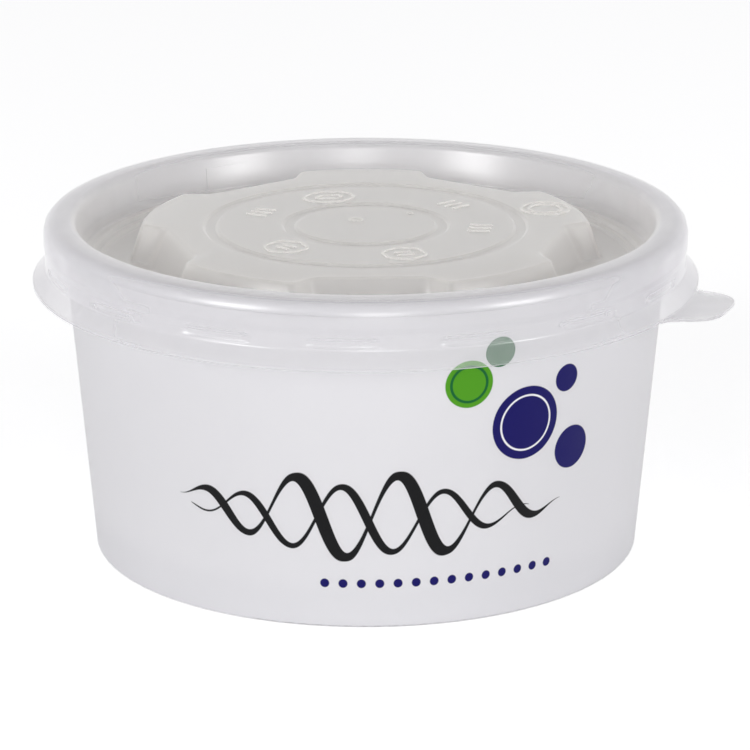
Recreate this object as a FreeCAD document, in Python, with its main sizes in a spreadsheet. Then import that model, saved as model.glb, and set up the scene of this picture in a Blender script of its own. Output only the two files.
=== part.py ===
"""Paper dessert cup: a round paperboard tub with a moulded lid that snaps over its rim.

The tub is a wrapped side wall, with a rolled rim and a folded hem, and a flanged bottom disc held in the hem.
The lid is one thin moulded shell: a channel over the rolled rim, a skirt with snap lugs and a pull tab, and a
sunk panel whose raised middle has five lobes. The lid is worked out as a mould is, from the form of its upper
surface and the core under it, one wall apart.

Frame: millimetres, +Z up, origin on the axis in the plane that the cup stands on. The tab points along +X.
"""
import FreeCAD, Part
import math
import os

import Sketcher

doc = FreeCAD.newDocument("paper_dessert_cup")

# Driving dimensions
SIZES = [
    ("foot_radius", 41.6, "outer radius of the cup's wall where it meets the table"),
    ("wall_slope", 0.0865, "radius gained by the wall for each millimetre of height"),
    ("rim_height", 50.7, "height of the top of the rolled rim"),
    ("curl_radius", 1.14, "radius of the rolled rim's section"),
    ("curl_end", 125.0, "degrees below the level where the roll's free edge stops"),
    ("board", 0.4, "thickness of the wall's paperboard"),
    ("disc_board", 0.4, "thickness of the bottom disc's paperboard"),
    ("glue_gap", 0.03, "gap between glued layers of board"),
    ("hem_height", 6.0, "height of the folded hem that grips the bottom disc"),
    ("hem_round", 0.35, "rounding of the hem's fold"),
    ("disc_rise", 0.25, "gap between the top of the hem and the underside of the disc"),
    ("flange_rise", 0.2, "gap between the disc's flange and the bottom of the fold"),
    ("disc_round", 0.6, "outer rounding where the disc turns down into its flange"),
    ("lap_width", 7.0, "width of the glued lap of the side wall"),
    ("lap_angle", 137.8, "direction of the lap's free edge from the tab, in degrees"),
    ("lid_wall", 0.42, "wall thickness of the lid"),
    ("seat_clearance", 0.05, "gap between the rolled rim and the lid above it"),
    ("bead_clearance", 0.52, "gap beside the rolled rim, inside the lid's channel"),
    ("waist_clearance", 0.31, "gap between the rolled rim and the lid's waist under it"),
    ("plug_clearance", 1.2, "gap between the cup's wall and the lid's inner wall, at the rim"),
    ("plug_slope", 0.12, "radius lost by the lid's inner wall for each millimetre down"),
    ("land_outer_round", 2.0, "outer rounding of the lid's top land"),
    ("land_inner_round", 1.3, "inner rounding of the lid's top land"),
    ("bead_depth", 4.0, "from the land down to where the channel's outer wall turns in"),
    ("waist_depth", 5.0, "from the land down to the waist"),
    ("waist_length", 2.25, "straight length of the waist"),
    ("bead_round", 1.2, "rounding where the channel's outer wall turns in"),
    ("waist_round", 0.4, "rounding where the waist turns out to the shoulder"),
    ("shoulder_stand", 1.7, "how far the skirt's shoulder stands out from the waist"),
    ("shoulder_depth", 9.15, "from the land down to the skirt's shoulder"),
    ("shoulder_round", 0.8, "rounding of the skirt's shoulder"),
    ("skirt_flare", 0.25, "how far the skirt's lower edge stands out from its shoulder"),
    ("skirt_depth", 9.75, "from the land down to the skirt's lower edge"),
    ("panel_depth", 1.9, "from the land down to the raised panel"),
    ("floor_depth", 7.5, "from the land down to the floor of the moat"),
    ("moat_width", 4.3, "width of the moat's floor between the foot of a lobe and the rib steps"),
    ("lobe_draft", 1.8, "how far the foot of a lobe stands out"),
    ("lobe_count", 5, "number of lobes and of notches between them"),
    ("lobe_turn", 5.5, "direction of the first notch from the tab, in degrees"),
    ("notch_depth", 4.8, "from a lobe's edge in to a notch's inner edge"),
    ("notch_draft", 2.6, "how far the foot of a notch's inner edge stands out"),
    ("notch_half", 8.0, "half the length of a notch's inner edge"),
    ("notch_splay", 1.155, "sideways run of a notch's end for each millimetre outwards"),
    ("notch_round", 3.0, "rounding between a notch's inner edge and its ends"),
    ("notch_beyond", 0.8, "how far the notch tool reaches past the foot of a lobe"),
    ("notch_clip", 2.7, "length clipped off the notch tool's outer corners, outwards"),
    ("notch_clip_width", 2.4, "length clipped off the notch tool's outer corners, sideways"),
    ("notch_core_growth", 0.4, "sideways growth of the notch in the core for each millimetre of wall"),
    ("panel_round", 0.45, "rounding of the raised panel's edge"),
    ("ring_border", 5.7, "from a notch's inner edge in to the middle of the outer ring groove"),
    ("ring_spacing", 11.9, "from the middle of the outer ring groove to that of the inner one"),
    ("ring_width", 2.3, "width of a ring groove at its top"),
    ("ring_depth", 0.4, "depth of a ring groove"),
    ("ring_slant", 0.5, "sideways run of a ring groove's slanted sides"),
    ("rib_start", 3.0, "from the foot of the lid's inner wall in to the first rib step"),
    ("rib_pitch", 1.25, "width of a rib step in the moat"),
    ("rib_rise", 0.6, "height of a rib step in the moat"),
    ("rib_slant", 0.35, "sideways run of a rib step's slanted riser"),
    ("lug_count", 16, "number of snap lugs round the skirt"),
    ("lug_start", -4.0, "direction of the first lug from the tab, in degrees"),
    ("lug_length", 10.8, "length of a snap lug along the skirt"),
    ("lug_height", 0.9, "height of a snap lug"),
    ("lug_depth", 6.3, "from the land down to the middle of a snap lug"),
    ("lug_clearance", 0.05, "gap between the rolled rim and a lug, as the lid passes over it"),
    ("lug_core_growth", 0.7, "growth of a lug's half height in the core for each millimetre of wall"),
    ("lug_round", 0.2, "rounding at the bottom of a lug's dent"),
    ("lug_beyond", 2.0, "how far the lug tool reaches past the skirt"),
    ("tab_length", 7.0, "how far the tab stands out from the skirt"),
    ("tab_root", 2.0, "how far the tab's root reaches inside the skirt's lower edge"),
    ("tab_neck", 0.6, "from the skirt's lower edge out to where the tab's sides begin"),
    ("tab_half", 7.5, "half the width of the tab"),
    ("tab_flare", 2.6, "how much wider the tab is on each side at the skirt"),
    ("tab_round", 3.6, "rounding of the tab's outer corners"),
    ("tab_flare_round", 2.2, "rounding where the tab's sides run into the skirt"),
    ("tab_thickness", 0.55, "thickness of the tab"),
    ("core_below", 1.0, "how far the core reaches below the skirt's lower edge"),
]

sheet = doc.addObject("Spreadsheet::Sheet", "Sizes")
sheet.set("A1", "name")
sheet.set("B1", "value, mm or degrees")
sheet.set("C1", "meaning")
for row, (name, value, meaning) in enumerate(SIZES, start=2):
    sheet.set(f"A{row}", name)
    sheet.set(f"B{row}", str(value))
    sheet.set(f"C{row}", meaning)
    sheet.setAlias(f"B{row}", name)
doc.recompute()


def size(name):
    """The expression that reads one driving dimension."""
    return f"Sizes.{name}"


def value(expression):
    """The number that an expression gives at present."""
    return float(sheet.evalExpression(expression))


# Expressions that several pieces share
FOOT = size("foot_radius")
SLOPE = size("wall_slope")
BOARD = size("board")
CURL = size("curl_radius")
CURL_HEIGHT = f"({size('rim_height')} - {CURL})"
WALL = size("lid_wall")


def outer_wall_radius(height):
    """Outer radius of the cup's wall at a height."""
    return f"({FOOT} + {SLOPE} * ({height}))"


def inner_wall_radius(height):
    """Inner radius of the cup's wall at a height."""
    return f"({FOOT} - {BOARD} + {SLOPE} * ({height}))"


CURL_INNER = inner_wall_radius(CURL_HEIGHT)
RIM_RADIUS = f"({CURL_INNER} + 2 * {CURL})"
LAND = f"({size('rim_height')} + {size('seat_clearance')} + {WALL})"
DISC_UNDERSIDE = f"({size('hem_height')} + {size('disc_rise')})"
DISC_TOP = f"({DISC_UNDERSIDE} + {size('disc_board')})"
WAIST = f"({RIM_RADIUS} + {size('waist_clearance')} + {WALL})"
SHOULDER = f"({WAIST} + {size('shoulder_stand')})"
SKIRT = f"({SHOULDER} + {size('skirt_flare')})"
PLUG_TOP = f"({CURL_INNER} - {size('plug_clearance')} - {WALL})"
PLUG_FOOT = f"({PLUG_TOP} - {size('plug_slope')} * ({size('floor_depth')} - 2 * {size('rib_rise')}))"
LOBE_FOOT = f"({PLUG_FOOT} - {size('rib_start')} - {size('moat_width')})"
LOBE = f"({LOBE_FOOT} - {size('lobe_draft')})"
NOTCH = f"({LOBE} - {size('notch_depth')})"
OUTER_RING = f"({NOTCH} - {size('ring_border')})"
INNER_RING = f"({OUTER_RING} - {size('ring_spacing')})"


def origin_part(body, role):
    """One of a body's own origin planes or axes."""
    for feature in body.Origin.OriginFeatures:
        if feature.Role == role:
            return feature
    raise ValueError(role)


def new_body(label):
    """An empty body with a label."""
    body = doc.addObject("PartDesign::Body", label)
    body.Label = label
    return body


def new_sketch(body, name, plane):
    """A sketch that lies on one of the body's own origin planes."""
    sketch = body.newObject("Sketcher::SketchObject", name)
    sketch.AttachmentSupport = [(origin_part(body, plane), "")]
    sketch.MapMode = "FlatFace"
    return sketch


class SketchPlan:
    """The constraints of one sketch, gathered first and given to it in one go."""

    def __init__(self, sketch):
        self.sketch = sketch
        self.constraints = []
        self.expressions = []

    def fix(self, *terms):
        """Notes a constraint that carries no size."""
        self.constraints.append(Sketcher.Constraint(*terms))

    def bind(self, expression, *terms):
        """Notes a constraint whose size follows an expression."""
        self.expressions.append((len(self.constraints), expression))
        self.constraints.append(Sketcher.Constraint(*terms, value(expression)))

    def pin(self, geometry, position, across, up):
        """Ties a point to two expressions, or to an axis where one of them is "0"."""
        if across == "0":
            self.fix("PointOnObject", geometry, position, -2)
        else:
            self.bind(across, "DistanceX", -1, 1, geometry, position)
        if up == "0":
            self.fix("PointOnObject", geometry, position, -1)
        else:
            self.bind(up, "DistanceY", -1, 1, geometry, position)

    def apply(self):
        """Gives the sketch its constraints and ties its sizes."""
        self.sketch.addConstraint(self.constraints)
        for index, expression in self.expressions:
            self.sketch.setExpression(f"Constraints[{index}]", expression)


def draw_outline(sketch, corners):
    """Draws a closed outline of straight runs through corners, each (across, up) or (across, up, rounding).

    A rounded corner is an arc tangent to both runs, and the corner itself is kept as a construction point.
    """
    points = [FreeCAD.Vector(value(corner[0]), value(corner[1]), 0) for corner in corners]
    arrive, leave, arcs = [], [], {}
    for index, (point, corner) in enumerate(zip(points, corners)):
        if len(corner) == 2:
            arrive.append(point)
            leave.append(point)
            continue
        before = (points[index - 1] - point).normalize()
        after = (points[(index + 1) % len(points)] - point).normalize()
        radius = value(corner[2])
        half_turn = before.getAngle(after) / 2
        start = point + before * (radius / math.tan(half_turn))
        end = point + after * (radius / math.tan(half_turn))
        middle = point + (before + after).normalize() * (radius / math.sin(half_turn) - radius)
        turns_left = (point - points[index - 1]).cross(after).z > 0
        arcs[index] = Part.Arc(start, middle, end) if turns_left else Part.Arc(end, middle, start)
        arrive.append(start)
        leave.append(end)

    plan = SketchPlan(sketch)
    count = len(points)
    runs = [Part.LineSegment(leave[index], arrive[(index + 1) % count]) for index in range(count)]
    lines = sketch.addGeometry(runs)
    for index, corner in enumerate(corners):
        before_line = lines[index - 1]
        after_line = lines[index]
        if index not in arcs:
            plan.fix("Coincident", before_line, 2, after_line, 1)
            plan.pin(after_line, 1, corner[0], corner[1])
            continue
        arc = sketch.addGeometry(arcs[index])
        arc_start = sketch.Geometry[arc].StartPoint
        first, last = (1, 2) if arc_start.distanceToPoint(arrive[index]) < 1e-6 else (2, 1)
        tip = sketch.addGeometry(Part.Point(points[index]), True)
        plan.fix("Tangent", before_line, 2, arc, first)
        plan.fix("Tangent", after_line, 1, arc, last)
        plan.bind(corner[2], "Radius", arc)
        plan.fix("PointOnObject", tip, 1, before_line)
        plan.fix("PointOnObject", tip, 1, after_line)
        plan.pin(tip, 1, corner[0], corner[1])
    plan.apply()


def spin(body, kind, sketch, name):
    """Turns a sketch in the XZ plane a full round about the axis, to add or to cut."""
    feature = body.newObject(f"PartDesign::{kind}", name)
    feature.Profile = sketch
    feature.ReferenceAxis = (sketch, ["V_Axis"])
    feature.Angle = 360.0
    sketch.Visibility = False
    return feature


def spin_part(body, kind, sketch, name, angle):
    """Turns a sketch through an angle, half of it to each side."""
    feature = spin(body, kind, sketch, name)
    feature.Midplane = True
    feature.setExpression("Angle", angle)
    return feature


def round_rim(body, name, radius, height, rounding):
    """Rounds the circular edge that lies about the axis at a radius and a height."""
    doc.recompute()
    base = body.Tip
    wanted = []
    for number, edge in enumerate(base.Shape.Edges, start=1):
        if edge.Curve.TypeId != "Part::GeomCircle" or abs(edge.Curve.Axis.z) < 0.999:
            continue
        off_radius = abs(edge.Curve.Radius - value(radius))
        off_height = abs(edge.Curve.Center.z - value(height))
        if off_radius < 0.001 and off_height < 0.001:
            wanted.append(f"Edge{number}")
    if not wanted:
        raise RuntimeError(f"{name}: no edge to round")
    fillet = body.newObject("PartDesign::Fillet", name)
    fillet.Base = (base, wanted)
    fillet.setExpression("Radius", rounding)


def spread(body, feature, name, count):
    """Repeats a feature evenly about the Z axis."""
    pattern = body.newObject("PartDesign::PolarPattern", name)
    pattern.Originals = [feature]
    pattern.Axis = (origin_part(body, "Z_Axis"), [""])
    pattern.Angle = 360.0
    pattern.setExpression("Occurrences", count)
    body.Tip = pattern
    return pattern


def turn_sketch(sketch, angle):
    """Turns a sketch that stands in the XZ plane about the Z axis."""
    sketch.AttachmentOffset = FreeCAD.Placement(FreeCAD.Vector(), FreeCAD.Rotation(FreeCAD.Vector(0, 1, 0), 1))
    sketch.setExpression("AttachmentOffset.Rotation.Angle", f"{angle} * 1 deg")


def lift_sketch(sketch, height, angle=None):
    """Raises a level sketch to a height, and turns it about the Z axis."""
    sketch.AttachmentOffset = FreeCAD.Placement(FreeCAD.Vector(), FreeCAD.Rotation(FreeCAD.Vector(0, 0, 1), 1))
    sketch.setExpression("AttachmentOffset.Base.z", height)
    sketch.setExpression("AttachmentOffset.Rotation.Angle", f"{angle or 0} * 1 deg")


# Side wall: cone, folded hem, rolled rim and lap
def make_side_wall():
    """The wrapped wall of paperboard, one piece from the rolled rim to the folded hem."""
    body = new_body("side_wall")
    leg_outer = f"{BOARD} + 2 * {size('glue_gap')} + {size('disc_board')}"
    leg_inner = f"{leg_outer} + {BOARD}"
    hem = size("hem_height")
    sheet_section = new_sketch(body, "wall_section", "XZ_Plane")
    draw_outline(sheet_section, [
        (FOOT, "0", size("hem_round")),
        (f"{CURL_INNER} + {BOARD}", CURL_HEIGHT),
        (CURL_INNER, CURL_HEIGHT),
        (inner_wall_radius(BOARD), BOARD),
        (f"{outer_wall_radius(BOARD)} - ({leg_outer})", BOARD),
        (f"{outer_wall_radius(hem)} - ({leg_outer})", hem),
        (f"{outer_wall_radius(hem)} - ({leg_inner})", hem),
        (f"{FOOT} - ({leg_inner})", "0", size("hem_round")),
    ])
    spin(body, "Revolution", sheet_section, "wall")

    roll_section = new_sketch(body, "roll_section", "XZ_Plane")
    draw_roll(roll_section)
    spin(body, "Revolution", roll_section, "rolled_rim")

    lap_section = new_sketch(body, "lap_section", "XZ_Plane")
    lap_foot = f"({DISC_TOP} + {BOARD})"
    lap_top = f"({CURL_HEIGHT} - {CURL})"
    draw_outline(lap_section, [
        (f"{inner_wall_radius(lap_foot)} + {BOARD} / 2", lap_foot),
        (f"{inner_wall_radius(lap_top)} + {BOARD} / 2", lap_top),
        (f"{inner_wall_radius(lap_top)} - {BOARD} / 2", lap_top),
        (f"{inner_wall_radius(lap_foot)} - {BOARD} / 2", lap_foot),
    ])
    lap_turn = f"({size('lap_width')} / {CURL_INNER} * 180 / pi)"
    turn_sketch(lap_section, f"({size('lap_angle')} + {lap_turn} / 2)")
    spin_part(body, "Revolution", lap_section, "lap", f"{lap_turn} * 1 deg")
    return body


def draw_roll(sketch):
    """Draws the rolled rim's section: a band of board from the wall over the top, out and back under."""
    centre = FreeCAD.Vector(value(f"{CURL_INNER} + {CURL}"), value(CURL_HEIGHT), 0)
    outer = value(CURL)
    inner = value(f"{CURL} - {BOARD}")
    start = -math.radians(value(size("curl_end")))
    stop = math.pi
    upward = FreeCAD.Vector(0, 0, 1)
    outer_arc = sketch.addGeometry(Part.ArcOfCircle(Part.Circle(centre, upward, outer), start, stop))
    inner_arc = sketch.addGeometry(Part.ArcOfCircle(Part.Circle(centre, upward, inner), start, stop))
    outer_shape = sketch.Geometry[outer_arc]
    inner_shape = sketch.Geometry[inner_arc]
    free_edge = sketch.addGeometry(Part.LineSegment(outer_shape.StartPoint, inner_shape.StartPoint))
    wall_edge = sketch.addGeometry(Part.LineSegment(outer_shape.EndPoint, inner_shape.EndPoint))
    end = f"({size('curl_end')} * 1 deg)"
    plan = SketchPlan(sketch)
    plan.fix("Coincident", outer_arc, 3, inner_arc, 3)
    plan.fix("Coincident", free_edge, 1, outer_arc, 1)
    plan.fix("Coincident", free_edge, 2, inner_arc, 1)
    plan.fix("Coincident", wall_edge, 1, outer_arc, 2)
    plan.fix("Coincident", wall_edge, 2, inner_arc, 2)
    plan.fix("Horizontal", wall_edge)
    plan.fix("Horizontal", outer_arc, 3, outer_arc, 2)
    plan.bind(CURL, "Radius", outer_arc)
    plan.bind(f"{CURL} - {BOARD}", "Radius", inner_arc)
    plan.pin(outer_arc, 3, f"{CURL_INNER} + {CURL}", CURL_HEIGHT)
    plan.bind(f"{CURL} * sin({end})", "DistanceY", outer_arc, 1, outer_arc, 3)
    plan.bind(f"({CURL} - {BOARD}) * sin({end})", "DistanceY", inner_arc, 1, inner_arc, 3)
    plan.apply()


# Bottom disc
def make_bottom_disc():
    """The disc of paperboard with a flange turned down, held between the wall and the hem."""
    body = new_body("bottom_disc")
    foot = f"({BOARD} + {size('flange_rise')})"
    outer = f"{BOARD} + {size('glue_gap')}"
    inner = f"{outer} + {size('disc_board')}"
    section = new_sketch(body, "disc_section", "XZ_Plane")
    draw_outline(section, [
        ("0", DISC_TOP),
        ("0", DISC_UNDERSIDE),
        (f"{outer_wall_radius(DISC_UNDERSIDE)} - ({inner})", DISC_UNDERSIDE,
         f"{size('disc_round')} - {size('disc_board')}"),
        (f"{outer_wall_radius(foot)} - ({inner})", foot),
        (f"{outer_wall_radius(foot)} - ({outer})", foot),
        (f"{outer_wall_radius(DISC_TOP)} - ({outer})", DISC_TOP, size("disc_round")),
    ])
    spin(body, "Revolution", section, "disc")
    return body


# Lid
def ring_corners(radius, height):
    """The four corners of a ring groove's section, from the axis outwards."""
    half = f"{size('ring_width')} / 2"
    slant = size("ring_slant")
    low = f"{height} - {size('ring_depth')}"
    return [
        (f"{radius} - {half}", height),
        (f"{radius} - {half} + {slant}", low),
        (f"{radius} + {half} - {slant}", low),
        (f"{radius} + {half}", height),
    ]


class LidLevels:
    """The radii and heights of the lid's section: its upper surface, or that surface set in by the wall.

    inset is "0" for the upper surface and the wall's thickness for the core under it.
    """

    def __init__(self, inset):
        self.inset = inset
        self.land = f"({LAND} - {inset})"
        self.floor = f"({LAND} - {size('floor_depth')} - {inset})"
        self.panel = f"({LAND} - {size('panel_depth')} - {inset})"
        self.bead_foot = f"({LAND} - {size('bead_depth')})"
        self.waist_top = f"({LAND} - {size('waist_depth')})"
        self.waist_foot = f"({self.waist_top} - {size('waist_length')})"
        self.shoulder_height = f"({LAND} - {size('shoulder_depth')})"
        self.skirt_foot = f"({LAND} - {size('skirt_depth')})"
        self.bead = f"({RIM_RADIUS} + {size('bead_clearance')} + {WALL} - {inset})"
        self.waist = f"({WAIST} - {inset})"
        self.shoulder = f"({SHOULDER} - {inset})"
        self.skirt = f"({SKIRT} - {inset})"
        self.lobe = f"({LOBE} - {inset})"
        self.lobe_foot = f"({LOBE_FOOT} - {inset})"
        self.plug_top = f"({PLUG_TOP} + {inset})"
        self.plug_foot = f"({PLUG_FOOT} + {inset})"
        self.rib_start = f"({self.plug_foot} - {size('rib_start')})"

    def rib_corners(self):
        """The moat's outer part: its floor climbs in two steps to the foot of the inner wall."""
        rise = size("rib_rise")
        slant = size("rib_slant")
        pitch = size("rib_pitch")
        return [
            (self.rib_start, self.floor),
            (f"{self.rib_start} + {slant}", f"{self.floor} + {rise}"),
            (f"{self.rib_start} + {pitch}", f"{self.floor} + {rise}"),
            (f"{self.rib_start} + {pitch} + {slant}", f"{self.floor} + 2 * {rise}"),
            (self.plug_foot, f"{self.floor} + 2 * {rise}"),
        ]

    def corners(self, below):
        """The closed outline from the axis over the land to the skirt's edge and a bit below it."""
        skirt_edge = f"({self.skirt_foot} - {below})"
        return [
            ("0", self.panel),
            *ring_corners(INNER_RING, self.panel),
            *ring_corners(OUTER_RING, self.panel),
            (self.lobe, self.panel),
            (self.lobe_foot, self.floor),
            *self.rib_corners(),
            (self.plug_top, self.land),
            (self.bead, self.land),
            (self.bead, self.bead_foot),
            (self.waist, self.waist_top),
            (self.waist, self.waist_foot),
            (self.shoulder, self.shoulder_height),
            (self.skirt, skirt_edge),
            ("0", skirt_edge),
        ]

    def rims(self):
        """The circular edges that are rounded, each as a name, a radius, a height and a rounding."""
        shoulder_round = f"({size('shoulder_round')} - {self.inset})"
        return [
            ("land_inner_rim", self.plug_top, self.land, f"({size('land_inner_round')} - {self.inset})"),
            ("land_outer_rim", self.bead, self.land, f"({size('land_outer_round')} - {self.inset})"),
            ("bead_rim", self.bead, self.bead_foot, size("bead_round")),
            ("waist_rim", self.waist, self.waist_foot, size("waist_round")),
            ("shoulder_rim", self.shoulder, self.shoulder_height, shoulder_round),
        ]


def notch_corners(inset, draft_out):
    """The plan of the tool that cuts one notch, on +X: a short inner edge, splayed ends and a clipped back."""
    edge = f"({NOTCH} + {draft_out} - {inset})"
    half = f"({size('notch_half')} + {inset} * {size('notch_core_growth')})"
    back = f"({LOBE_FOOT} + {size('notch_beyond')})"
    corner = f"({back} - {size('notch_clip')})"
    corner_half = f"({half} + {size('notch_splay')} * ({corner} - {edge}))"
    back_half = f"({corner_half} - {size('notch_clip_width')})"
    rounding = f"({size('notch_round')} + {inset})"
    return [
        (edge, f"-{half}", rounding),
        (corner, f"-{corner_half}"),
        (back, f"-{back_half}"),
        (back, back_half),
        (corner, corner_half),
        (edge, half, rounding),
    ]


def cut_notches(body, levels):
    """Cuts the notches between the lobes as a loft from the panel's edge down to the moat's floor."""
    top = new_sketch(body, "notch_top", "XY_Plane")
    draw_outline(top, notch_corners(levels.inset, "0"))
    lift_sketch(top, levels.panel, size("lobe_turn"))
    foot = new_sketch(body, "notch_foot", "XY_Plane")
    draw_outline(foot, notch_corners(levels.inset, size("notch_draft")))
    lift_sketch(foot, levels.floor, size("lobe_turn"))
    loft = body.newObject("PartDesign::SubtractiveLoft", "notch")
    loft.Profile = top
    loft.Sections = [foot]
    loft.Ruled = True
    top.Visibility = False
    foot.Visibility = False
    spread(body, loft, "notches", size("lobe_count"))


def round_panel(body, levels):
    """Rounds the upper edge of the lobed panel, all the way round its lobes and notches."""
    doc.recompute()
    base = body.Tip
    height = value(levels.panel)
    inside = (value(OUTER_RING) + value(NOTCH)) / 2
    wanted = []
    for number, edge in enumerate(base.Shape.Edges, start=1):
        middle = edge.valueAt((edge.FirstParameter + edge.LastParameter) / 2)
        corners = [vertex.Point for vertex in edge.Vertexes] + [middle]
        level = all(abs(corner.z - height) < 0.001 for corner in corners)
        if level and math.hypot(middle.x, middle.y) > inside:
            wanted.append(f"Edge{number}")
    fillet = body.newObject("PartDesign::Fillet", "panel_rim")
    fillet.Base = (base, wanted)
    fillet.setExpression("Radius", size("panel_round"))


def cut_lugs(body, levels):
    """Cuts the dents of the snap lugs into the foot of the waist, so that they stand in under the rolled rim."""
    inset = levels.inset
    middle = f"({LAND} - {size('lug_depth')})"
    bottom = f"({RIM_RADIUS} + {size('lug_clearance')} + {WALL} - {inset})"
    half = f"({size('lug_height')} / 2 + {inset} * {size('lug_core_growth')})"
    beyond = f"({SKIRT} + {size('lug_beyond')})"
    section = new_sketch(body, "lug_section", "XZ_Plane")
    draw_outline(section, [
        (bottom, f"{middle} - {half}", size("lug_round")),
        (beyond, f"{middle} - {half}"),
        (beyond, f"{middle} + {half}"),
        (bottom, f"{middle} + {half}", size("lug_round")),
    ])
    turn_sketch(section, size("lug_start"))
    turn = f"(({size('lug_length')} + 2 * {inset}) / {bottom} * 180 / pi * 1 deg)"
    lug = spin_part(body, "Groove", section, "lug", turn)
    spread(body, lug, "lugs", size("lug_count"))


def add_tab(body):
    """Adds the pull tab: a tongue at the level of the skirt's lower edge."""
    root = f"({SKIRT} - {size('tab_root')})"
    neck = f"({SKIRT} + {size('tab_neck')})"
    reach = f"({SKIRT} + {size('tab_length')})"
    half = size("tab_half")
    wide = f"({half} + {size('tab_flare')})"
    plan = new_sketch(body, "tab_plan", "XY_Plane")
    draw_outline(plan, [
        (root, f"-{wide}"),
        (neck, f"-{half}", size("tab_flare_round")),
        (reach, f"-{half}", size("tab_round")),
        (reach, half, size("tab_round")),
        (neck, half, size("tab_flare_round")),
        (root, wide),
    ])
    lift_sketch(plan, f"({LAND} - {size('skirt_depth')})")
    pad = body.newObject("PartDesign::Pad", "tab")
    pad.Profile = plan
    pad.setExpression("Length", size("tab_thickness"))
    plan.Visibility = False


def make_lid():
    """The moulded lid: the form of its upper surface with the core taken out of it."""
    bodies = []
    for label, inset, below in (("lid_form", "0", "0"), ("lid_core", WALL, size("core_below"))):
        body = new_body(label)
        levels = LidLevels(inset)
        section = new_sketch(body, f"{label}_section", "XZ_Plane")
        draw_outline(section, levels.corners(below))
        spin(body, "Revolution", section, f"{label}_turned")
        for rim in levels.rims():
            round_rim(body, f"{label}_{rim[0]}", *rim[1:])
        cut_notches(body, levels)
        if inset == "0":
            round_panel(body, levels)
        cut_lugs(body, levels)
        bodies.append(body)
    form, core = bodies
    add_tab(form)

    lid = doc.addObject("Part::Cut", "lid")
    lid.Label = "lid"
    lid.Base = form
    lid.Tool = core
    return lid


def check_document():
    """Stops if any object failed or any sub-part's shape isn't one sound solid."""
    for item in doc.Objects:
        if "Invalid" in item.State or "Error" in item.State:
            raise RuntimeError(f"{item.Name} failed: {item.State}")
    for part in parts:
        if part.Shape.isNull() or not part.Shape.isValid():
            raise RuntimeError(f"{part.Label} has no valid shape")
        if len(part.Shape.Solids) != 1:
            raise RuntimeError(f"{part.Label} is {len(part.Shape.Solids)} solids")


parts = [make_side_wall(), make_bottom_disc(), make_lid()]
doc.recompute()
check_document()

os.makedirs("parts", exist_ok=True)
for part in parts:
    box = part.Shape.BoundBox
    print(f"{part.Label}: {part.Shape.Volume:.1f} mm3, {len(part.Shape.Faces)} faces, "
          f"x {box.XMin:.2f} to {box.XMax:.2f}, z {box.ZMin:.2f} to {box.ZMax:.2f}")
    part.Shape.exportStep(f"parts/{part.Label}.step")
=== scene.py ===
"""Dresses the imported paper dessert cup: printed coated board, and a frosted press-on lid."""

import logging
import math
from dataclasses import dataclass, field
from enum import Enum

import bmesh
import bpy
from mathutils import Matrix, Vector


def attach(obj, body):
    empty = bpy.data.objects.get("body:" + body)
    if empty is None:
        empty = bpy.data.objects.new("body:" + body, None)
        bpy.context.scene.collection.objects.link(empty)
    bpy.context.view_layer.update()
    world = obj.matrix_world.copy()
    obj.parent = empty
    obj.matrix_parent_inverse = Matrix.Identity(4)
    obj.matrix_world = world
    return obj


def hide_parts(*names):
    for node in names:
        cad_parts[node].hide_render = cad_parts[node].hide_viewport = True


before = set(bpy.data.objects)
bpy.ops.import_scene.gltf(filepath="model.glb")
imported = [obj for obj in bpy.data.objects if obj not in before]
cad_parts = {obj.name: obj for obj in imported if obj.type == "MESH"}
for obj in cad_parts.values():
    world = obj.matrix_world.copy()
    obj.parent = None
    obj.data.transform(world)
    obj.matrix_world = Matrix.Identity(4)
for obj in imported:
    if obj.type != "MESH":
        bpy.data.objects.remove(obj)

# A millimetre, the side that the print faces, and the height of the lid's panel
MM = 0.001
FRONT = math.radians(292.0)
PANEL_HEIGHT = 49.27
Value = "float | Field"
Colour = tuple[float, float, float]
Point = tuple[float, float]

log = logging.getLogger("cup")


class Body(Enum):
    """The two bodies that pieces ride on."""

    CUP = "cup"
    LID = "lid"


class Slot(Enum):
    """The record's material slots."""

    WALL = "paperboard"
    BASE = "base_board"
    LID = "lid_plastic"


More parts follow.
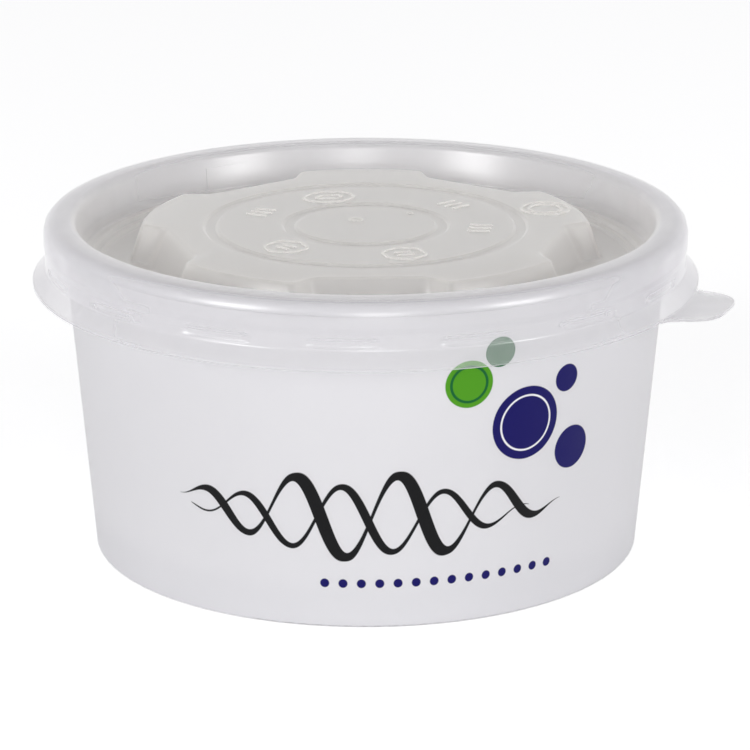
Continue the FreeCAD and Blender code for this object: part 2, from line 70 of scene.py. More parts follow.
class Field:
    """A number that changes over a surface: one node socket, with the sums finishes use."""

    def __init__(self, tree: bpy.types.NodeTree, socket: bpy.types.NodeSocket) -> None:
        """Keeps a socket and its tree.

        Args:
            tree: the material's or world's node tree.
            socket: the output that carries the number.
        """
        self.tree = tree
        self.socket = socket

    def work(self, operation: str, *values: Value, clamp: bool = False) -> "Field":
        """Adds one Math node.

        Args:
            operation: the node's operation.
            values: its inputs, in order.
            clamp: keeps the result between 0 and 1.

        Returns:
            The result.
        """
        node = self.tree.nodes.new("ShaderNodeMath")
        node.operation = operation
        node.use_clamp = clamp
        for place, given in zip(node.inputs, values):
            if isinstance(given, Field):
                self.tree.links.new(given.socket, place)
            else:
                place.default_value = given
        return Field(self.tree, node.outputs[0])

    def __add__(self, other: Value) -> "Field":
        """Sum."""
        return self.work("ADD", self, other)

    def __radd__(self, other: Value) -> "Field":
        """Sum, with the number first."""
        return self.work("ADD", other, self)

    def __sub__(self, other: Value) -> "Field":
        """Difference."""
        return self.work("SUBTRACT", self, other)

    def __rsub__(self, other: Value) -> "Field":
        """Difference, with the number first."""
        return self.work("SUBTRACT", other, self)

    def __mul__(self, other: Value) -> "Field":
        """Product."""
        return self.work("MULTIPLY", self, other)

    def __rmul__(self, other: Value) -> "Field":
        """Product, with the number first."""
        return self.work("MULTIPLY", other, self)

    def __truediv__(self, other: Value) -> "Field":
        """Quotient."""
        return self.work("DIVIDE", self, other)

    def __rtruediv__(self, other: Value) -> "Field":
        """Quotient, with the number first."""
        return self.work("DIVIDE", other, self)

    def __abs__(self) -> "Field":
        """Size without its sign."""
        return self.work("ABSOLUTE", self)

    def clamped(self) -> "Field":
        """The value kept between 0 and 1."""
        return self.work("ADD", self, 0.0, clamp=True)

    def root(self) -> "Field":
        """Square root."""
        return self.work("SQRT", self)

    def power(self, exponent: Value) -> "Field":
        """The value raised to a power."""
        return self.work("POWER", self, exponent)

    def sine(self) -> "Field":
        """Sine of an angle in radians."""
        return self.work("SINE", self)

    def least(self, other: Value) -> "Field":
        """The smaller of two values."""
        return self.work("MINIMUM", self, other)

    def most(self, other: Value) -> "Field":
        """The larger of two values."""
        return self.work("MAXIMUM", self, other)

    def inside(self, limit: Value, softness: float) -> "Field":
        """A mask of where the value is below a limit.

        Args:
            limit: the value at the edge.
            softness: the width over which the mask fades, centred on the edge.

        Returns:
            1 inside, 0 outside.
        """
        return ((limit - self) / softness + 0.5).clamped()


class Recipe:
    """One material's node tree while it is being made."""

    def __init__(self, name: str) -> None:
        """Starts an empty material.

        Args:
            name: the material's name.
        """
        self.material = bpy.data.materials.new(name)
        self.material.use_nodes = True
        self.tree = self.material.node_tree
        self.tree.nodes.clear()
        self.output = self.tree.nodes.new("ShaderNodeOutputMaterial")

    def node(
        self,
        kind: str,
        settings: dict[str, object] | None = None,
        inputs: dict[str | int, object] | None = None,
    ) -> bpy.types.Node:
        """Adds any node.

        Args:
            kind: the node's type.
            settings: its own settings, which are set first.
            inputs: values or links of its sockets, by name or number.

        Returns:
            The node.
        """
        made = self.tree.nodes.new(kind)
        for name, setting in (settings or {}).items():
            setattr(made, name, setting)
        for name, given in (inputs or {}).items():
            place = made.inputs[name]
            if isinstance(given, Field):
                self.tree.links.new(given.socket, place)
            elif isinstance(given, bpy.types.NodeSocket):
                self.tree.links.new(given, place)
            else:
                place.default_value = given
        return made

    def value(
        self,
        kind: str,
        settings: dict[str, object],
        inputs: dict[str | int, object],
        output: str | int = 0,
    ) -> Field:
        """Adds a node and reads one number from it.

        Args:
            kind: the node's type.
            settings: its own settings.
            inputs: values or links of its sockets.
            output: the output to read.

        Returns:
            The number as a field.
        """
        return Field(self.tree, self.node(kind, settings, inputs).outputs[output])

    def place(self) -> bpy.types.NodeSocket:
        """Object coordinates, in metres."""
        return self.node("ShaderNodeTexCoord").outputs["Object"]

    def millimetres(self, turn: float = 0.0) -> bpy.types.NodeSocket:
        """Object coordinates in millimetres.

        Args:
            turn: an angle in radians by which the pattern is turned about Z.

        Returns:
            The vector socket.
        """
        mapping = self.node(
            "ShaderNodeMapping",
            {"vector_type": "POINT"},
            {"Vector": self.place(), "Rotation": (0.0, 0.0, turn), "Scale": (1.0 / MM,) * 3},
        )
        return mapping.outputs[0]

    def parts(self, vector: bpy.types.NodeSocket) -> tuple[Field, Field, Field]:
        """The three numbers of a vector.

        Args:
            vector: the socket to split.

        Returns:
            X, Y and Z.
        """
        split = self.node("ShaderNodeSeparateXYZ", {}, {"Vector": vector})
        return tuple(Field(self.tree, out) for out in split.outputs)

    def noise(self, vector: bpy.types.NodeSocket, scale: float, detail: float = 2.0) -> Field:
        """Soft noise around 0.5.

        Args:
            vector: where it is read.
            scale: how many blobs in one unit.
            detail: finer layers.

        Returns:
            The noise.
        """
        return self.value(
            "ShaderNodeTexNoise",
            {"noise_dimensions": "3D"},
            {"Vector": vector, "Scale": scale, "Detail": detail, "Roughness": 0.55},
        )

    def tint(self, amount: Value, first: object, second: object) -> bpy.types.NodeSocket:
        """Blends two colours.

        Args:
            amount: how much of the second colour shows.
            first: a colour or a colour socket.
            second: a colour or a colour socket.

        Returns:
            The blended colour.
        """
        mixed = self.node("ShaderNodeMix", {"data_type": "RGBA"}, {0: amount})
        for place, given in ((6, first), (7, second)):
            if isinstance(given, bpy.types.NodeSocket):
                self.tree.links.new(given, mixed.inputs[place])
            else:
                mixed.inputs[place].default_value = (*given, 1.0)
        return mixed.outputs[2]

    def bump(self, height: Field, strength: float, distance: float) -> bpy.types.NodeSocket:
        """A fine relief for the Normal socket.

        Args:
            height: the relief, from 0 to 1.
            strength: how much of it shows.
            distance: its depth in metres.

        Returns:
            The normal.
        """
        made = self.node(
            "ShaderNodeBump", {}, {"Height": height, "Strength": strength, "Distance": distance}
        )
        return made.outputs[0]

    def blend(
        self, share: Value, first: bpy.types.Node, second: bpy.types.Node
    ) -> bpy.types.Node:
        """Mixes two shaders.

        Args:
            share: how much of the second one shows.
            first: the shader that shows where the share is 0.
            second: the shader that shows where it is 1.

        Returns:
            The mixed shader.
        """
        return self.node(
            "ShaderNodeMixShader", {}, {0: share, 1: first.outputs[0], 2: second.outputs[0]}
        )

    def let_light_through(
        self, shader: bpy.types.Node, share: Value, tone: Colour
    ) -> bpy.types.Node:
        """Lets a share of the light pass through a thin wall, scattered.

        Args:
            shader: the surface's own shader.
            share: how much passes.
            tone: the colour that it takes on.

        Returns:
            The mixed shader.
        """
        glow = self.node("ShaderNodeBsdfTranslucent", {}, {"Color": (*tone, 1.0)})
        return self.blend(share, shader, glow)

    def finish(self, shader: bpy.types.Node) -> bpy.types.Material:
        """Ends the material with its shader.

        Args:
            shader: the node whose shader the surface shows.

        Returns:
            The material.
        """
        self.tree.links.new(shader.outputs[0], self.output.inputs["Surface"])
        return self.material


@dataclass(frozen=True)
class Motif:
    """One flat shape of the print, placed in millimetres along the wall and up it."""

    along: float
    up: float
    colour: Colour
    edge: float = 0.12

    def mask(self, along: Field, up: Field) -> Field:
        """Where the shape is printed."""
        raise NotImplementedError

    def distance(self, along: Field, up: Field) -> Field:
        """How far a point is from the shape's centre.

        Args:
            along: the point's place along the wall.
            up: its height.

        Returns:
            The distance in millimetres.
        """
        across = along - self.along
        above = up - self.up
        return (across * across + above * above).root()


@dataclass(frozen=True)
class Disc(Motif):
    """A filled circle."""

    radius: float = 2.0

    def mask(self, along: Field, up: Field) -> Field:
        """Where the circle is printed."""
        return self.distance(along, up).inside(self.radius, self.edge)


@dataclass(frozen=True)
class Ring(Motif):
    """A circle's outline."""

    radius: float = 3.0
    line: float = 0.6

    def mask(self, along: Field, up: Field) -> Field:
        """Where the outline is printed."""
        return abs(self.distance(along, up) - self.radius).inside(self.line / 2, self.edge)


@dataclass(frozen=True)
class Wave(Motif):
    """A pen stroke that rises and falls, thick where it falls and thin at its ends."""

    half_length: float = 25.0
    swing: float = 4.0
    period: float = 14.0
    shift: float = 0.0
    climb: float = 0.0
    thin: float = 0.25
    thick: float = 0.9

    def mask(self, along: Field, up: Field) -> Field:
        """Where the stroke is printed.

        Args:
            along: the place along the wall.
            up: the height.

        Returns:
            1 on the stroke, 0 beside it.
        """
        across = along - self.along
        phase = across * (math.tau / self.period) + self.shift
        ends = (1.0 - (across / self.half_length) * (across / self.half_length)).most(0.0)
        line = phase.sine() * ends * self.swing + across * self.climb + self.up
        press = ((phase + math.pi / 2).sine() * -0.5 + 0.5) * (self.thick - self.thin) + self.thin
        reach = press * ends.root()
        lean = (phase + math.pi / 2).sine() * ends * (self.swing * math.tau / self.period)
        steep = (lean * lean + 1.0).root()
        near = abs(up - line) / steep
        return near.inside(reach, self.edge) * abs(across).inside(self.half_length, self.edge)


@dataclass(frozen=True)
class DotRow(Motif):
    """A row of small round dots."""

    half_length: float = 15.0
    pitch: float = 2.8
    radius: float = 0.7

    def mask(self, along: Field, up: Field) -> Field:
        """Where the dots are printed.

        Args:
            along: the place along the wall.
            up: the height.

        Returns:
            1 on a dot, 0 beside it.
        """
        across = along - self.along
        step = across.work("PINGPONG", across + self.pitch / 2, self.pitch / 2)
        above = up - self.up
        dots = (step * step + above * above).root().inside(self.radius, self.edge)
        return dots * abs(across).inside(self.half_length, self.edge)


BLACK: Colour = (0.005, 0.005, 0.006)
NAVY: Colour = (0.006, 0.004, 0.11)
LEAF: Colour = (0.08, 0.32, 0.014)
DEEP_GREEN: Colour = (0.006, 0.12, 0.03)
WHITE: Colour = (0.9, 0.895, 0.925)


@dataclass(frozen=True)
class PrintedBoard:
    """White coated paperboard with a flat print on the outside of the wall."""

    name: str = "printed_paperboard"
    white: Colour = WHITE
    shade: Colour = (0.875, 0.872, 0.905)
    roughness: float = 0.36
    fibre_scale: float = 3.2
    cloud_scale: float = 0.09
    relief_scale: float = 1.6
    relief_strength: float = 0.22
    relief_depth: float = 0.00006
    light_share: float = 0.24
    light_tone: Colour = (0.98, 0.965, 0.94)
    front: float = FRONT
    middle_radius: float = 44.5
    face_foot: float = 41.4
    face_slope: float = 0.0865
    motifs: tuple[Motif, ...] = ()

    def make(self) -> bpy.types.Material:
        """Builds the material.

        Returns:
            The material.
        """
        recipe = Recipe(self.name)
        here = recipe.millimetres()
        x, y, up = recipe.parts(recipe.millimetres(-self.front))
        along = y.work("ARCTAN2", y, x) * self.middle_radius
        radius = (x * x + y * y).root()
        fibre = recipe.noise(here, self.fibre_scale, 4.0)
        cloud = recipe.noise(here, self.cloud_scale, 2.0)
        shaded = (cloud * 0.9 + fibre * 0.25 - 0.2).clamped()
        colour = recipe.tint(shaded, self.white, self.shade)
        outside = (self.board_face(up) - radius).inside(0.1, 0.05)
        bare: Value = 1.0
        for motif in self.motifs:
            ink = motif.mask(along, up) * outside
            colour = recipe.tint(ink, colour, motif.colour)
            bare = (1.0 - ink).least(bare)
        relief = recipe.noise(here, self.relief_scale, 5.0)
        shader = recipe.node(
            "ShaderNodeBsdfPrincipled",
            {},
            {
                "Base Color": colour,
                "Roughness": (fibre * 0.1 + (self.roughness - 0.05)).clamped(),
                "IOR": 1.48,
                "Specular IOR Level": 0.15,
                "Normal": recipe.bump(relief, self.relief_strength, self.relief_depth),
            },
        )
        passing = bare * self.light_share
        return recipe.finish(recipe.let_light_through(shader, passing, self.light_tone))

    def board_face(self, up: Field) -> Field:
        """The radius of the wall's outer face at a height, a little inside it.

        Args:
            up: the height in millimetres.

        Returns:
            The radius in millimetres.
        """
        return up * self.face_slope + self.face_foot


@dataclass(frozen=True)
class PlainBoard:
    """Plain white board of the bottom disc, with fine flecks."""

    name: str = "plain_board"
    white: Colour = (0.9, 0.895, 0.88)
    fleck: Colour = (0.84, 0.835, 0.815)
    roughness: float = 0.5
    fibre_scale: float = 2.4
    relief_scale: float = 1.2
    relief_strength: float = 0.3
    relief_depth: float = 0.00008
    light_share: float = 0.15
    light_tone: Colour = (0.95, 0.93, 0.9)

    def make(self) -> bpy.types.Material:
        """Builds the material.

        Returns:
            The material.
        """
        recipe = Recipe(self.name)
        here = recipe.millimetres()
        fibre = recipe.noise(here, self.fibre_scale, 5.0)
        relief = recipe.noise(here, self.relief_scale, 5.0)
        shader = recipe.node(
            "ShaderNodeBsdfPrincipled",
            {},
            {
                "Base Color": recipe.tint((fibre * 1.4 - 0.3).clamped(), self.white, self.fleck),
                "Roughness": (fibre * 0.12 + self.roughness).clamped(),
                "IOR": 1.48,
                "Specular IOR Level": 0.3,
                "Normal": recipe.bump(relief, self.relief_strength, self.relief_depth),
            },
        )
        return recipe.finish(recipe.let_light_through(shader, self.light_share, self.light_tone))


@dataclass(frozen=True)
class FrostedPlastic:
    """Natural moulded plastic: milky, half see-through, with a satin skin."""

    name: str = "frosted_plastic"
    # The outer zone's milk (land, bead and skirt) is darker and cooler: painted shade over the
    # plastic's own milky colour. The middle's milk (panel and moat) is brighter and warmer: painted
    # light over the same milky colour.
    milk_painted_shade: Colour = (0.84, 0.825, 0.89)
    milk_middle_painted_light: Colour = (0.975, 0.96, 0.955)
    glow: Colour = (0.985, 0.975, 0.955)
    clear: Colour = (0.99, 0.99, 0.99)
    haze: float = 0.09
    haze_middle: float = 0.42
    middle_reach: float = 42.9
    inner_reach: float = 44.4
    reach_fade: float = 0.8
    roughness: float = 0.3
    grain_scale: float = 5.0
    flow_scale: float = 0.12
    flow_haze: float = 0.04
    relief_strength: float = 0.12
    relief_depth: float = 0.00004
    scatter: float = 0.45
    scatter_inner: float = 0.33
    lowest_facing: float = 0.15
    sheen: float = 0.06
    sheen_low: float = 0.9
    sheen_power: float = 5.0

    def make(self) -> bpy.types.Material:
        """Builds the material.

        Returns:
            The material.
        """
        recipe = Recipe(self.name)
        here = recipe.millimetres()
        grain = recipe.noise(here, self.grain_scale, 3.0)
        flow = recipe.noise(here, self.flow_scale, 2.0)
        x, y, _ = recipe.parts(here)
        radius = (x * x + y * y).root()
        middle = radius.inside(self.middle_reach, self.reach_fade)
        inner = radius.inside(self.inner_reach, self.reach_fade)
        normal = recipe.bump(grain, self.relief_strength, self.relief_depth)
        skin = recipe.node(
            "ShaderNodeBsdfPrincipled",
            {},
            {
                # Base colour split by radius: painted shade on the outer zone, painted light on the
                # middle, with random flow in the tone.
                "Base Color": recipe.tint(
                    (inner + flow * 0.2 - 0.1).clamped(), self.milk_painted_shade, self.milk_middle_painted_light
                ),
                "Roughness": (grain * 0.14 + (self.roughness - 0.07)).clamped(),
                "IOR": 1.5,
                "Specular IOR Level": 0.1,
                "Normal": normal,
            },
        )
        body = recipe.node(
            "ShaderNodeBsdfTranslucent", {}, {"Color": (*self.glow, 1.0), "Normal": normal}
        )
        milky = recipe.blend(inner * self.scatter_inner + self.scatter, skin, body)
        through = recipe.node("ShaderNodeBsdfTransparent", {}, {"Color": (*self.clear, 1.0)})
        haze = middle * (self.haze_middle - self.haze) + self.haze
        away = recipe.value("ShaderNodeLayerWeight", {}, {"Blend": 0.5}, "Facing")
        facing = (1.0 - away).most(self.lowest_facing)
        face_on = 1.0 + self.flow_haze / 2 - haze - flow * self.flow_haze
        clearness = face_on.power(1.0 / (facing * facing)).clamped()
        wall = recipe.blend(clearness, milky, through)
        gloss = recipe.node(
            "ShaderNodeBsdfGlossy",
            {},
            {"Color": (1.0, 1.0, 1.0, 1.0), "Roughness": self.roughness, "Normal": normal},
        )
        mirror = away.power(self.sheen_power) * self.sheen_low + self.sheen
        return recipe.finish(recipe.blend(mirror, wall, gloss))


def between(first: Point, second: Point, share: float) -> Point:
    """A point on the way from one to another.

    Args:
        first: where the way starts.
        second: where it ends.
        share: how far along it.

    Returns:
        The point.
    """
    return (first[0] + (second[0] - first[0]) * share, first[1] + (second[1] - first[1]) * share)


def soften(corners: list[tuple[float, ...]], pieces: int = 4) -> list[Point]:
    """Rounds the corners of an open line.

    Args:
        corners: each corner's two places, and its rounding where it has one.
        pieces: how many steps a rounding has.

    Returns:
        The line's points.
    """
    line = [corners[0][:2]]
    for before, corner, after in zip(corners, corners[1:], corners[2:]):
        if len(corner) == 2:
            line.append(corner)
            continue
        here = Vector(corner[:2])
        back = (Vector(before[:2]) - here).normalized()
        ahead = (Vector(after[:2]) - here).normalized()
        half_turn = back.angle(ahead) / 2
        reach = corner[2] / math.tan(half_turn)
        centre = here + (back + ahead).normalized() * (corner[2] / math.sin(half_turn))
        start = here + back * reach - centre
        end = here + ahead * reach - centre
        for step in range(pieces + 1):
            spoke = start.slerp(end, step / pieces).normalized() * corner[2]
            line.append(tuple(centre + spoke))
    line.append(corners[-1][:2])
    return line


def circle_points(radius: float, height: float, steps: int) -> list[Vector]:
    """A level circle about the axis.

    Args:
        radius: its radius.
        height: its height.
        steps: how many points it has.

    Returns:
        Its points, from the tab's side round to the left.
    """
    turns = (math.tau * step / steps for step in range(steps))
    return [Vector((radius * math.cos(a), radius * math.sin(a), height)) for a in turns]


def start_piece(name: str) -> None:
    """Names the new primitive and opens it for editing.

    Args:
        name: the piece's name.
    """
    bpy.context.object.name = name
    bpy.context.object.data.name = name
    bpy.ops.object.mode_set(mode="EDIT")


def end_piece(
    material: bpy.types.Material, body: Body, smooth: float
) -> bpy.types.Object:
    """Closes the piece, dresses it and hangs it on its body.

    Args:
        material: its finish.
        body: the body that it rides on.
        smooth: the angle in degrees up to which its faces are shaded as one.

    Returns:
        The piece.
    """
    bpy.ops.object.mode_set(mode="OBJECT")
    piece = bpy.context.object
    bpy.ops.object.shade_smooth_by_angle(angle=math.radians(smooth))
    piece.data.materials.clear()
    piece.data.materials.append(material)
    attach(piece, body.value)
    return piece


@dataclass
class LobedPanel:
    """The outline of the raised panel: five lobes with a straight-edged notch between each two."""

    lobes: int = 5
    turn: float = math.radians(5.5)
    lobe_radius: float = 34.01
    lobe_draft: float = 1.8
    notch_radius: float = 29.21
    notch_draft: float = 2.6
    notch_half: float = 8.0
    splay: float = 1.155
    notch_round: float = 3.0
    tip_round: float = 0.7
    growth: float = 0.373
    edge_steps: int = 10
    bend_steps: int = 5
    side_steps: int = 4
    tip_steps: int = 3

    def outline(self, fall: float, inset: float, height: float, steps: int) -> list[Vector]:
        """The outline at a share of the way down its wall.

        Args:
            fall: 0 at the panel's edge and 1 at the moat's floor.
            inset: how far the outline is moved in.
            height: its height.
            steps: how many points it has in all.

        Returns:
            Its points, from the tab's side round to the left.
        """
        sector = self.sector(fall, inset, steps // self.lobes)
        points = []
        for lobe in range(self.lobes):
            angle = self.turn + math.tau * lobe / self.lobes
            cos, sin = math.cos(angle), math.sin(angle)
            points += [
                Vector((x * cos - y * sin, x * sin + y * cos, height)) for x, y in sector
            ]
        shift = round(self.turn / math.tau * steps)
        return points[-shift:] + points[:-shift]

    def sector(self, fall: float, inset: float, steps: int) -> list[Point]:
        """The outline from the middle of one notch to the middle of the next.

        Args:
            fall: 0 at the panel's edge and 1 at the moat's floor.
            inset: how far the outline is moved in.
            steps: how many points the sector has.

        Returns:
            The points in plan.
        """
        edge = self.notch_radius + self.notch_draft * fall - inset
        radius = self.lobe_radius + self.lobe_draft * fall - inset
        half = self.notch_half + self.growth * inset
        bend = self.notch_round + inset
        lean = math.atan(self.splay)
        tangent = bend * math.tan((math.pi / 2 - lean) / 2)
        along = edge + half * self.splay
        slope = 1 + self.splay * self.splay
        past = edge * edge + half * half - radius * radius
        run = (math.sqrt(along * along - slope * past) - along) / slope
        tip = (edge + run, half + self.splay * run)
        side = (math.cos(lean), math.sin(lean))
        side_start = (edge + tangent * side[0], half + tangent * side[1])
        side_end = (tip[0] - self.tip_round * side[0], tip[1] - self.tip_round * side[1])
        lobe_start = math.atan2(tip[1], tip[0]) + self.tip_round / radius
        lobe_begin = (radius * math.cos(lobe_start), radius * math.sin(lobe_start))

        rising = [(edge, (half - tangent) * i / self.edge_steps) for i in range(self.edge_steps)]
        for i in range(self.bend_steps):
            turn = (math.pi / 2 - lean) * i / self.bend_steps
            rising.append(
                (edge + bend * (1 - math.cos(turn)), half - tangent + bend * math.sin(turn))
            )
        rising += [
            between(side_start, side_end, i / self.side_steps) for i in range(self.side_steps)
        ]
        for i in range(self.tip_steps):
            share = i / self.tip_steps
            before, after = between(side_end, tip, share), between(tip, lobe_begin, share)
            rising.append(between(before, after, share))

        sector_turn = math.tau / self.lobes
        arc_steps = steps - 2 * len(rising) + 1
        arc = []
        for i in range(arc_steps):
            angle = lobe_start + (sector_turn - 2 * lobe_start) * i / (arc_steps - 1)
            arc.append((radius * math.cos(angle), radius * math.sin(angle)))
        cos, sin = math.cos(sector_turn), math.sin(sector_turn)
        falling = [(x * cos + y * sin, x * sin - y * cos) for x, y in reversed(rising[1:])]
        return rising + arc + falling


@dataclass
class SnapLugs:
    """The small capsule-shaped dents round the skirt that grip under the rolled rim."""

    count: int = 16
    first: float = math.radians(-4.0)
    half_length: float = 5.0
    half_height: float = 0.52
    middle: float = 44.9
    depth: float = 0.26
    soft: float = 0.3

    def dent(self, angle: float, radius: float, height: float) -> float:
        """How deep the skirt is dented at a point.

        Args:
            angle: its direction from the tab.
            radius: its distance from the axis.
            height: its height.

        Returns:
            The depth.
        """
        pitch = math.tau / self.count
        off = (angle - self.first + pitch / 2) % pitch - pitch / 2
        beyond = max(abs(off) * radius - self.half_length + self.half_height, 0.0)
        away = math.hypot(beyond, height - self.middle)
        share = min(max((self.half_height + self.soft / 2 - away) / self.soft, 0.0), 1.0)
        return self.depth * share * share * (3 - 2 * share)


@dataclass
class LidShell:
    """The moulded lid: one thin shell from its panel to the skirt's edge, with the tab."""

    steps: int = 480
    wall: float = 0.42
    land: float = 51.17
    panel: float = PANEL_HEIGHT
    middle_radii: tuple[float, float] = (3.0, 7.0)
    floor: float = 43.67
    skirt_foot: float = 41.42
    bead: float = 48.705
    waist: float = 48.495
    waist_foot: float = 43.92
    shoulder: float = 50.195
    shoulder_height: float = 42.02
    skirt: float = 50.445
    plug_top: float = 43.865
    plug_foot: float = 43.11
    plug_foot_round: float = 0.5
    land_inner_round: float = 1.3
    land_outer_round: float = 2.0
    bead_depth: float = 4.0
    bead_round: float = 1.2
    waist_depth: float = 5.0
    waist_head_round: float = 0.6
    waist_foot_round: float = 0.45
    shoulder_round: float = 0.8
    rib_start: float = 40.11
    rib_rise: float = 0.6
    rib_pitch: float = 1.25
    rib_slant: float = 0.35
    rib_round: float = 0.15
    ring_radii: tuple[float, float] = (11.61, 23.51)
    ring_half: float = 1.15
    ring_slant: float = 0.42
    ring_depth: float = 0.4
    ring_round: float = 0.12
    flat_margin: float = 0.6
    panel_round: float = 0.5
    foot_round: float = 0.35
    tab_reach: float = 57.36
    tab_half: float = 7.5
    tab_round: float = 4.9
    tab_rise: float = 0.45
    tab_root: Point = (49.655, 8.89)
    tab_neck: float = 51.045
    tab_neck_round: float = 2.2
    tab_columns: int = 13
    tab_rows: tuple[float, ...] = (0.12, 0.35, 0.6, 0.82, 0.95, 1.0)
    smooth: float = 32.0
    lug_band: tuple[float, float] = (45.64, 44.2)
    lug_loops: int = 11
    outline: LobedPanel = field(default_factory=LobedPanel)
    lugs: SnapLugs = field(default_factory=SnapLugs)

    def build(self, material: bpy.types.Material) -> bpy.types.Object:
        """Models the shell.

        Args:
            material: its finish.

        Returns:
            The piece.
        """
        middle = self.middle_loops()
        first = middle[0]
        bpy.ops.mesh.primitive_circle_add(
            vertices=self.steps, radius=first[0].x * MM, fill_type="TRIFAN"
        )
        start_piece("lid_shell")
        self.number_steps(first)
        for loop in middle[1:] + self.wall_loops() + self.outer_loops():
            self.extrude_to(loop)
        self.draw_out_tab()
        bpy.ops.mesh.select_all(action="SELECT")
        bpy.ops.mesh.normals_make_consistent(inside=False)
        bpy.ops.object.mode_set(mode="OBJECT")
        self.face_up()
        bpy.ops.object.modifier_add(type="SOLIDIFY")
        thickness = bpy.context.object.modifiers[-1]
        thickness.thickness = self.wall * MM
        thickness.offset = -1.0
        thickness.use_even_offset = True
        bpy.ops.object.modifier_apply(modifier=thickness.name)
        bpy.ops.object.mode_set(mode="EDIT")
        self.level_foot()
        piece = end_piece(material, Body.LID, self.smooth)
        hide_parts("lid")
        return piece

    def number_steps(self, points: list[Vector]) -> None:
        """Numbers the first loop's points and puts them in place. Later loops keep the numbers.

        Args:
            points: the first loop.
        """
        mesh = bmesh.from_edit_mesh(bpy.context.object.data)
        number = mesh.verts.layers.int.new("step")
        for vert in mesh.verts:
            around = math.atan2(vert.co.y, vert.co.x) / math.tau * self.steps
            vert[number] = round(around) % self.steps
            rim = vert.co.length > points[0].x * MM / 2
            vert.co = points[vert[number]] * MM if rim else Vector((0.0, 0.0, points[0].z * MM))
        bmesh.update_edit_mesh(bpy.context.object.data)
        self.select_edges(set(range(self.steps)))

    def select_edges(self, steps: set[int]) -> None:
        """Selects the open edge, or a part of it.

        Args:
            steps: the steps between which its edges are taken.
        """
        bpy.ops.mesh.select_all(action="DESELECT")
        mesh = bmesh.from_edit_mesh(bpy.context.object.data)
        number = mesh.verts.layers.int["step"]
        for edge in mesh.edges:
            if edge.is_boundary and {vert[number] for vert in edge.verts} <= steps:
                edge.select_set(True)
        bmesh.update_edit_mesh(bpy.context.object.data)

    def extrude_to(self, points: list[Vector]) -> None:
        """Extrudes the open edge to the next loop.

        Args:
            points: the loop.
        """
        bpy.ops.mesh.extrude_region_move()
        mesh = bmesh.from_edit_mesh(bpy.context.object.data)
        number = mesh.verts.layers.int["step"]
        for vert in mesh.verts:
            if vert.select:
                vert.co = points[vert[number]] * MM
        bmesh.update_edit_mesh(bpy.context.object.data)

    def round_loops(self, line: list[Point]) -> list[list[Vector]]:
        """Circles at the points of a section.

        Args:
            line: radii and heights.

        Returns:
            The loops.
        """
        return [circle_points(radius, height, self.steps) for radius, height in line]

    def middle_loops(self) -> list[list[Vector]]:
        """The flat middle with its two ring grooves.

        Returns:
            The loops, from the middle out.
        """
        line = [(radius, self.panel) for radius in self.middle_radii]
        low = self.panel - self.ring_depth
        for ring in self.ring_radii:
            line += soften([
                (ring - self.ring_half - self.flat_margin, self.panel),
                (ring - self.ring_half, self.panel, self.ring_round),
                (ring - self.ring_half + self.ring_slant, low, self.ring_round),
                (ring + self.ring_half - self.ring_slant, low, self.ring_round),
                (ring + self.ring_half, self.panel, self.ring_round),
                (ring + self.ring_half + self.flat_margin, self.panel),
            ], 2)
        return self.round_loops(line)

    def wall_loops(self) -> list[list[Vector]]:
        """The lobed panel's rounded edge, its slanting wall and the moat's floor at its foot.

        Returns:
            The loops, from the panel down.
        """
        depth = self.panel - self.floor
        loops = []
        for step in range(5):
            turn = math.radians(20.0 * step)
            drop = self.panel_round * (1 - math.cos(turn))
            inset = self.panel_round * (1 - math.sin(turn)) + self.outline.lobe_draft * 0.04
            loops.append(self.outline.outline(drop / depth, inset, self.panel - drop, self.steps))
        for fall in (0.3, 0.65):
            loops.append(self.outline.outline(fall, 0.0, self.panel - depth * fall, self.steps))
        for step in range(4):
            turn = math.radians(30.0 * step)
            rise = self.foot_round * (1 - math.sin(turn))
            outset = self.foot_round * (1 - math.cos(turn))
            loops.append(
                self.outline.outline(1 - rise / depth, -outset, self.floor + rise, self.steps)
            )
        return loops

    def outer_loops(self) -> list[list[Vector]]:
        """The rib steps, the inner wall, the land, the bead, the waist and the skirt.

        Returns:
            The loops, from the moat's floor out and down to the skirt's edge.
        """
        step_one = self.floor + self.rib_rise
        step_two = step_one + self.rib_rise
        line = soften([
            (self.rib_start - self.flat_margin, self.floor),
            (self.rib_start, self.floor, self.rib_round),
            (self.rib_start + self.rib_slant, step_one, self.rib_round),
            (self.rib_start + self.rib_pitch, step_one, self.rib_round),
            (self.rib_start + self.rib_pitch + self.rib_slant, step_two, self.rib_round),
            (self.plug_foot, step_two, self.plug_foot_round),
            (self.plug_top, self.land, self.land_inner_round),
            (self.bead, self.land, self.land_outer_round),
            (self.bead, self.land - self.bead_depth, self.bead_round),
            (self.waist, self.land - self.waist_depth, self.waist_head_round),
            (self.waist, self.lug_band[0]),
        ], 3)
        loops = self.round_loops(line)
        high, low = self.lug_band
        for step in range(1, self.lug_loops):
            loops.append(self.dented(self.waist, high + (low - high) * step / self.lug_loops))
        line = soften([
            (self.waist, low),
            (self.waist, self.waist_foot, self.waist_foot_round),
            (self.shoulder, self.shoulder_height, self.shoulder_round),
            (self.skirt, self.skirt_foot + self.wall + 0.01),
        ], 4)
        loops += self.round_loops(line)
        foot = circle_points(self.skirt, self.skirt_foot, self.steps)
        for step in self.tab_steps():
            foot[step].z = self.skirt_foot + self.wall
        loops.append(foot)
        return loops

    def dented(self, radius: float, height: float) -> list[Vector]:
        """A circle of the skirt with the snap lugs' dents.

        Args:
            radius: its radius.
            height: its height.

        Returns:
            The loop.
        """
        points = []
        for step in range(self.steps):
            angle = math.tau * step / self.steps
            reach = radius - self.lugs.dent(angle, radius, height)
            points.append(Vector((reach * math.cos(angle), reach * math.sin(angle), height)))
        return points

    def tab_steps(self) -> list[int]:
        """The steps from which the tab grows."""
        return [step % self.steps for step in range(-self.tab_columns, self.tab_columns + 1)]

